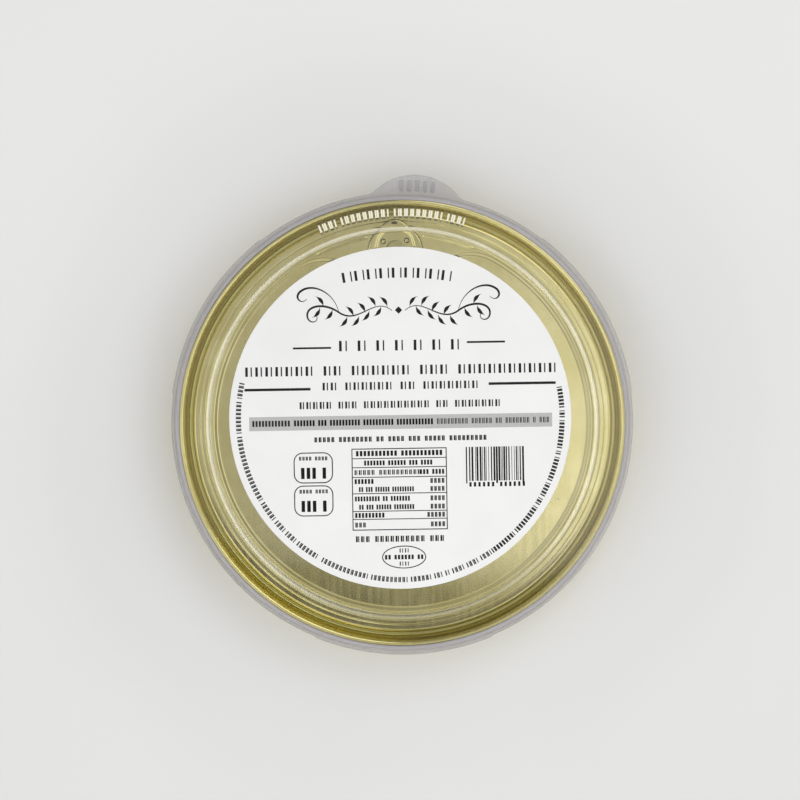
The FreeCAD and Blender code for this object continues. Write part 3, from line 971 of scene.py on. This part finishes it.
def makePrint(black, grey):
    middle = labelMiddle()
    place = Matrix.Translation((middle.x, middle.y, labelHigh.z + label["inkGap"] * mm))
    place = place @ Matrix.Rotation(math.radians(label["turn"]), 4, "Z")

    bm = bmesh.new()
    arcSigns(bm, 94, 90 + 9.5, 90 - 9.4, 2.9, [9], 0.2, 0.1, 0.62, (-0.2, -52.2))
    flourish(bm)
    signs(bm, -17.3, 17.2, 20.9, 3.0, [7], 0.2, 0.1, 0.42)
    patch(bm, -30.6, -19.6, 20.15, 20.7)
    patch(bm, 19.5, 30.5, 21.2, 21.75)
    signs(bm, -44.4, 44.9, 13.8, 2.7, [7, 2, 6, 3, 10], 0.21, 0.11)
    signs(bm, -22.2, 22.4, 9.3, 2.2, [2, 6, 2, 7], 0.22, 0.12)
    patch(bm, -44.7, -25.7, 8.25, 9.0)
    patch(bm, 25.6, 44.9, 9.05, 9.8)
    signs(bm, -28.9, 28.7, 3.9, 2.0, [5, 3, 10, 2, 7], 0.22, 0.13)
    signs(bm, -24.8, 24.7, -6.0, 1.45, [5, 8, 2, 4, 3, 5, 9], 0.24, 0.16)
    for low, high in ((-18.5, -9.6), (-28.0, -19.1)):
        frameBox(bm, -30.9, -19.6, low, high, 2.6, 0.3)
        signs(bm, -29.3, -21.2, high - 1.75, 1.1, [4, 4], 0.22, 0.18)
        signs(bm, -28.8, -21.6, low + 2.9, 3.2, [3, 1], 0.17, 0.12, 0.62)
    frameBox(bm, -14.2, 13.2, -32.3, -8.7, 0, 0.28)
    for y in (-11.6, -14.2, -17.0, -21.7, -26.8, -29.1):
        patch(bm, -14.2, 13.2, y - 0.12, y + 0.12)
    signs(bm, -12.9, 11.9, -10.15, 1.5, [11, 11], 0.23, 0.16)
    rows = [(-12.9, -10.6, 9.0, [7, 6, 3, 4], None), (-15.6, -13.4, 5.6, [5, 10], [3, 4]),
            (-18.2, -13.4, -8.0, [6], [4]), (-20.5, -12.2, 3.6, [2, 3, 6, 9], [4]),
            (-23.2, -13.4, 2.4, [9, 2, 7], [4]), (-25.6, -12.2, 3.6, [2, 3, 6, 8], [4]),
            (-27.95, -13.4, -5.0, [9], [5]), (-30.7, -13.4, -10.4, [3], [4])]
    for y, x0, x1, left, right in rows:
        signs(bm, x0, x1, y, 1.4, left, 0.22, 0.15)
        if right:
            signs(bm, 12.4 - 1.0 * sum(right), 12.4, y, 1.4, right, 0.22, 0.15)
    barcode(bm, 18.7, 35.9, -18.5, -8.7)
    signs(bm, 19.6, 35.6, -19.5, 1.3, [6, 6], 0.22, 0.18, 0.5)
    signs(bm, -13.3, 12.0, -34.8, 1.7, [3, 10, 3], 0.24, 0.14)
    ring(bm, 0.5, -40.1, 6.35, 3.3, 0.28)
    signs(bm, -0.8, 1.8, -38.2, 1.2, [2], 0.22, 0.16)
    signs(bm, -5.0, 6.0, -40.1, 1.3, [2, 6, 2], 0.22, 0.16)
    signs(bm, -0.8, 1.8, -42.0, 1.2, [2], 0.22, 0.16)
    arcSigns(bm, 46.6, 167, 238, 1.5, [4, 8, 17, 5, 3, 3, 6], 0.2, 0.14)
    arcSigns(bm, 46.6, 240.5, 303, 1.5, [12, 9, 5, 2, 1, 3, 3, 3], 0.2, 0.14)
    arcSigns(bm, 46.6, 304, 370, 1.5, [8, 9, 2, 4, 7, 1, 8, 2, 6], 0.2, 0.14)
    signs(bm, -42.6, -31.8, -1.15, 1.7, [12], 0.17, 0.1)
    signs(bm, -30.6, 9.4, -1.15, 1.7, [7, 3, 10, 10, 12], 0.22, 0.17)
    signs(bm, 10.6, 42.8, -1.15, 1.6, [9, 6, 2, 7, 1, 3], 0.15, 0.1)
    bmesh.ops.transform(bm, matrix=place, verts=bm.verts[:])
    ink = finished("labelPrint", bm, black, 30, False)

    bm = bmesh.new()
    patch(bm, -43.5, 43.7, -3.2, 0.8)
    bmesh.ops.transform(bm, matrix=Matrix.Translation((0, 0, -0.5 * label["inkGap"] * mm)) @ place,
                        verts=bm.verts[:])
    band = finished("labelBand", bm, grey, 30, False)
    return ink, band


ringLettering = {
    "radius": 60.5,
    "fromAngle": 113.0,
    "toAngle": 73.0,
    "height": 2.2,
    "gap": 0.008,
}


def makeRingLettering(pale):
    # the cap ring's moulded lettering as a row of pale strokes; their cream colour is a painted highlight on the
    # raised letters
    bm = bmesh.new()
    arcSigns(bm, ringLettering["radius"], ringLettering["fromAngle"], ringLettering["toAngle"], ringLettering["height"],
             [3, 8, 8, 3], 0.2, 0.16)
    level = capHigh.z - ringLettering["gap"] * mm
    bmesh.ops.translate(bm, vec=(0, 0, level), verts=bm.verts[:])
    marks = finished("ringLettering", bm, pale, 30, False)
    return marks


# studio

studio = {
    "cameraX": -0.66,
    "cameraY": 6.56,
    "cameraHeight": 816.0,
    "fieldWidth": 230.2,
    "fieldDistance": 800.0,
    "lampSize": 0.8,
    "lampReach": 1.2,
    "lamps": [(60, 52, 2.1)],
    "base": 0.36,
    "cardLow": 0.5,
    "cardHigh": 1.16,
    "fillLow": 0.34,
    "fillHigh": 0.72,
    "lowBelt": 3.2,
    "highBelt": 1.05,
    "horizon": 0.3,
    "backdrop": 0.80,
}


def makeStudio():
    scene = bpy.context.scene
    scene.view_settings.view_transform = "Standard"

    floorMaterial, nodes, links, shader = newMaterial("studioFloor")
    speck = noiseNode(nodes, links, 8, 2)
    tone = mixedColour(nodes, links, speck.outputs["Fac"], (0.80, 0.80, 0.795, 1),
                       (0.82, 0.82, 0.815, 1), 0.3, 0.7)
    links.new(tone.outputs["Result"], shader.inputs["Base Color"])
    shader.inputs["Roughness"].default_value = 0.9
    bm = bmesh.new()
    bmesh.ops.create_circle(bm, cap_ends=True, segments=64, radius=4)
    mesh = bpy.data.meshes.new("floor")
    bm.to_mesh(mesh)
    bm.free()
    floor = bpy.data.objects.new("floor", mesh)
    mesh.materials.append(floorMaterial)
    scene.collection.objects.link(floor)

    # a dome that is dim at the horizon, with a soft card overhead that fades to one side
    world = bpy.data.worlds.new("softDome")
    scene.world = world
    world.use_nodes = True
    nodes, links = world.node_tree.nodes, world.node_tree.links
    dome = nodes["Background"]
    coords = nodes.new("ShaderNodeTexCoord")
    axes = nodes.new("ShaderNodeSeparateXYZ")
    links.new(coords.outputs["Generated"], axes.inputs["Vector"])
    x, y, z = axes.outputs["X"], axes.outputs["Y"], axes.outputs["Z"]

    def along(turn):
        # how far a direction leans towards that side
        turn = math.radians(turn)
        return worked(nodes, links, "ADD", worked(nodes, links, "MULTIPLY", x, math.cos(turn)),
                      worked(nodes, links, "MULTIPLY", y, math.sin(turn)))

    def times(one, two):
        return worked(nodes, links, "MULTIPLY", one, two)

    card = times(eased(nodes, links, along(-36), -0.045, 0.109, studio["cardLow"], studio["cardHigh"]),
                 eased(nodes, links, along(265), 0.0525, 0.0647, 1.0, 0.18))
    nearTop = eased(nodes, links, z, 0.98, 0.994, 0.0, 1.0)
    upper = eased(nodes, links, along(222), -0.25, 0.25, studio["fillLow"] - studio["base"],
                  studio["fillHigh"] - studio["base"])
    fill = worked(nodes, links, "ADD", studio["base"],
                  times(upper, eased(nodes, links, z, 0.78, 0.88, 0.0, 1.0)))
    over = worked(nodes, links, "ADD", times(card, nearTop),
                  times(worked(nodes, links, "SUBTRACT", 1.0, nearTop), fill))
    horizon = eased(nodes, links, z, 0.02, 0.12, studio["horizon"], 1.0)
    sides = worked(nodes, links, "ADD", eased(nodes, links, along(-20), 0.3, 0.6, 0.0, 1.0),
                   eased(nodes, links, along(212), 0.3, 0.6, 0.0, 0.95))
    high = times(times(eased(nodes, links, z, 0.5, 0.62, 0.0, studio["highBelt"]),
                       eased(nodes, links, z, 0.84, 0.92, 1.0, 0.0)), sides)
    low = times(times(eased(nodes, links, z, 0.22, 0.27, 0.0, studio["lowBelt"]),
                      eased(nodes, links, z, 0.34, 0.41, 1.0, 0.0)),
                eased(nodes, links, along(100), 0.55, 0.95, 1.0, 0.3))
    belts = worked(nodes, links, "ADD", high, low)
    light = worked(nodes, links, "ADD", times(over, horizon), belts)
    seen = nodes.new("ShaderNodeLightPath")
    blend = nodes.new("ShaderNodeMix")
    links.new(seen.outputs["Is Camera Ray"], blend.inputs["Factor"])
    links.new(light, blend.inputs["A"])
    blend.inputs["B"].default_value = studio["backdrop"]
    links.new(blend.outputs["Result"], dome.inputs["Strength"])
    dome.inputs["Color"].default_value = (1, 1, 1, 1)

    for turn, climb, power in studio["lamps"]:
        lamp = bpy.data.lights.new("softLamp", "AREA")
        lamp.shape = "DISK"
        lamp.size = studio["lampSize"]
        lamp.energy = power
        light = bpy.data.objects.new("softLamp", lamp)
        way = Matrix.Rotation(math.radians(turn), 3, "Z") @ Matrix.Rotation(-math.radians(climb), 3, "Y") @ Vector((1, 0, 0))
        light.location = way * studio["lampReach"]
        light.rotation_euler = (-light.location).to_track_quat("-Z", "Y").to_euler()
        scene.collection.objects.link(light)

    lens = bpy.data.cameras.new("camera")
    half = math.atan(studio["fieldWidth"] / 2 / studio["fieldDistance"])
    lens.lens = lens.sensor_width / 2 / math.tan(half)
    lens.clip_start = 0.01
    camera = bpy.data.objects.new("camera", lens)
    camera.location = (studio["cameraX"] * mm, studio["cameraY"] * mm, studio["cameraHeight"] * mm)
    scene.collection.objects.link(camera)
    scene.camera = camera


# painted shade: the end's lacquer deepens over the countersink
gold = goldLacquer("lacquerEnd", countersinkShade=True)
makeBody(goldLacquer("lacquerBody", 0.97))
print("body made")
panelLevel = makeEnd(gold)
# painted shade: the rivet's lacquer is scaled darker, to 0.78 of the end's, and its tilted faces are shaded
makeRivet(goldLacquer("lacquerRivet", 0.78, slopeShade=True), panelLevel)
print("end and rivet made")
# painted shade: the pull's tilted faces and crevices are darkened
makePull(goldLacquer("lacquerPull", 0.94, slopeShade=True))
print("ring pull made")
makeCap(clearPlastic())
makeTabRibs(frostedPlastic())
print("cap made")
makeLabel(paperMaterial())
makePrint(inkMaterial("blackInk", (0.012, 0.012, 0.013, 1), (0.022, 0.022, 0.023, 1)),
          inkMaterial("greyInk", (0.50, 0.50, 0.49, 1), (0.54, 0.54, 0.53, 1)))
# painted highlight: the moulded lettering on the cap's ring is drawn in a pale cream colour
makeRingLettering(inkMaterial("letteringHighlight", (0.87, 0.83, 0.66, 1), (0.92, 0.88, 0.71, 1)))
print("label made")
makeStudio()
print("studio made")
